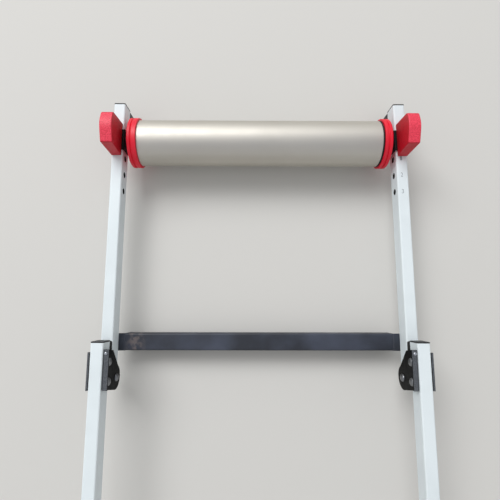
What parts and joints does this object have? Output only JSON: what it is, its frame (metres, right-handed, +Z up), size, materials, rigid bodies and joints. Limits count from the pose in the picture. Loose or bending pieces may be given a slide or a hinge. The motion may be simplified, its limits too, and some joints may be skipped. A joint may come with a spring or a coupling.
{
  "type": "bike rollers",
  "caption": "Folding bike rollers: aluminium drums with red end caps on a white ladder frame that folds at a middle hinge, red wheel guards and black stands.",
  "frame": {"origin": "centre of the bounding box, on the floor that the feet and pads stand on", "axes": "+X to the rider's right, +Y along the frame towards the front drum, +Z up"},
  "size_m": [0.5446, 1.3216, 0.1396],
  "materials": {
    "rail_white": "satin white powder coat",
    "stand_black": "satin black paint with dusty scuffs",
    "bracket_black": "semi-gloss black powder coat",
    "plastic_black": "moulded",
    "rubber_black": "matte",
    "drum_aluminium": "satin anodised",
    "plastic_red": "glossy moulded",
    "zinc_steel": "zinc plated",
    "bearing_steel": "ground"
  },
  "bodies": {
    "rear_section": {"rear_rail_right": "rail_white", "rear_rail_left": "rail_white", "rear_rail_front_plug_right": "plastic_black", "rear_rail_front_plug_left": "plastic_black", "rear_rail_rear_plug_right": "plastic_black", "rear_rail_rear_plug_left": "plastic_black", "rest_pad_right": "rubber_black", "rest_pad_left": "rubber_black", "hinge_bracket_right": "bracket_black", "hinge_bracket_left": "bracket_black", "hinge_plate_right": "bracket_black", "hinge_plate_left": "bracket_black", "pivot_bolt_right": "zinc_steel", "pivot_bolt_left": "zinc_steel", "bracket_bolt_rear_right": "zinc_steel", "bracket_bolt_rear_left": "zinc_steel", "bracket_bolt_front_right": "zinc_steel", "bracket_bolt_front_left": "zinc_steel", "flange_rivet_right": "zinc_steel", "flange_rivet_left": "zinc_steel", "rear_stand": "stand_black", "rear_stand_screw_right": "zinc_steel", "rear_stand_screw_left": "zinc_steel", "rear_stand_pad_right": "rubber_black", "rear_stand_pad_left": "rubber_black", "middle_axle": "zinc_steel", "middle_axle_nut": "zinc_steel", "rear_axle": "zinc_steel", "rear_axle_nut": "zinc_steel"},
    "front_section": {"front_rail_right": "rail_white", "front_rail_left": "rail_white", "front_foot_right": "plastic_black", "front_foot_left": "plastic_black", "front_stand": "stand_black", "front_stand_screw_right": "zinc_steel", "front_stand_screw_left": "zinc_steel", "front_stand_pad_right": "rubber_black", "front_stand_pad_left": "rubber_black", "axle_saddle_right": "bracket_black", "axle_saddle_left": "bracket_black", "wheel_guard_right": "plastic_red", "wheel_guard_left": "plastic_red", "front_axle": "zinc_steel", "front_axle_nut": "zinc_steel"},
    "front_drum": {"front_drum_tube": "drum_aluminium", "front_drum_cap_right": "plastic_red", "front_drum_cap_left": "plastic_red", "front_drum_joint_ring": "rubber_black", "front_bearing_right": "bearing_steel", "front_bearing_left": "bearing_steel"},
    "middle_drum": {"middle_drum_tube": "drum_aluminium", "middle_drum_cap_right": "plastic_red", "middle_drum_cap_left": "plastic_red", "middle_bearing_right": "bearing_steel", "middle_bearing_left": "bearing_steel"},
    "rear_drum": {"rear_drum_tube": "drum_aluminium", "rear_drum_cap_right": "plastic_red", "rear_drum_cap_left": "plastic_red", "rear_bearing_right": "bearing_steel", "rear_bearing_left": "bearing_steel"}
  },
  "joints": [
    {"name": "fold", "type": "hinge", "parent": "rear_section", "child": "front_section", "pos_m": [0, 0.18225, 0.0545], "axis": [-1, 0, 0], "range_deg": [0, 170]},
    {"name": "front_drum_spin", "type": "hinge", "parent": "front_section", "child": "front_drum", "pos_m": [0, 0.59075, 0.0545], "axis": [1, 0, 0], "continuous": true},
    {"name": "middle_drum_spin", "type": "hinge", "parent": "rear_section", "child": "middle_drum", "pos_m": [0, -0.33275, 0.0959], "axis": [1, 0, 0], "continuous": true},
    {"name": "rear_drum_spin", "type": "hinge", "parent": "rear_section", "child": "rear_drum", "pos_m": [0, -0.58875, 0.0959], "axis": [1, 0, 0], "continuous": true}
  ]
}
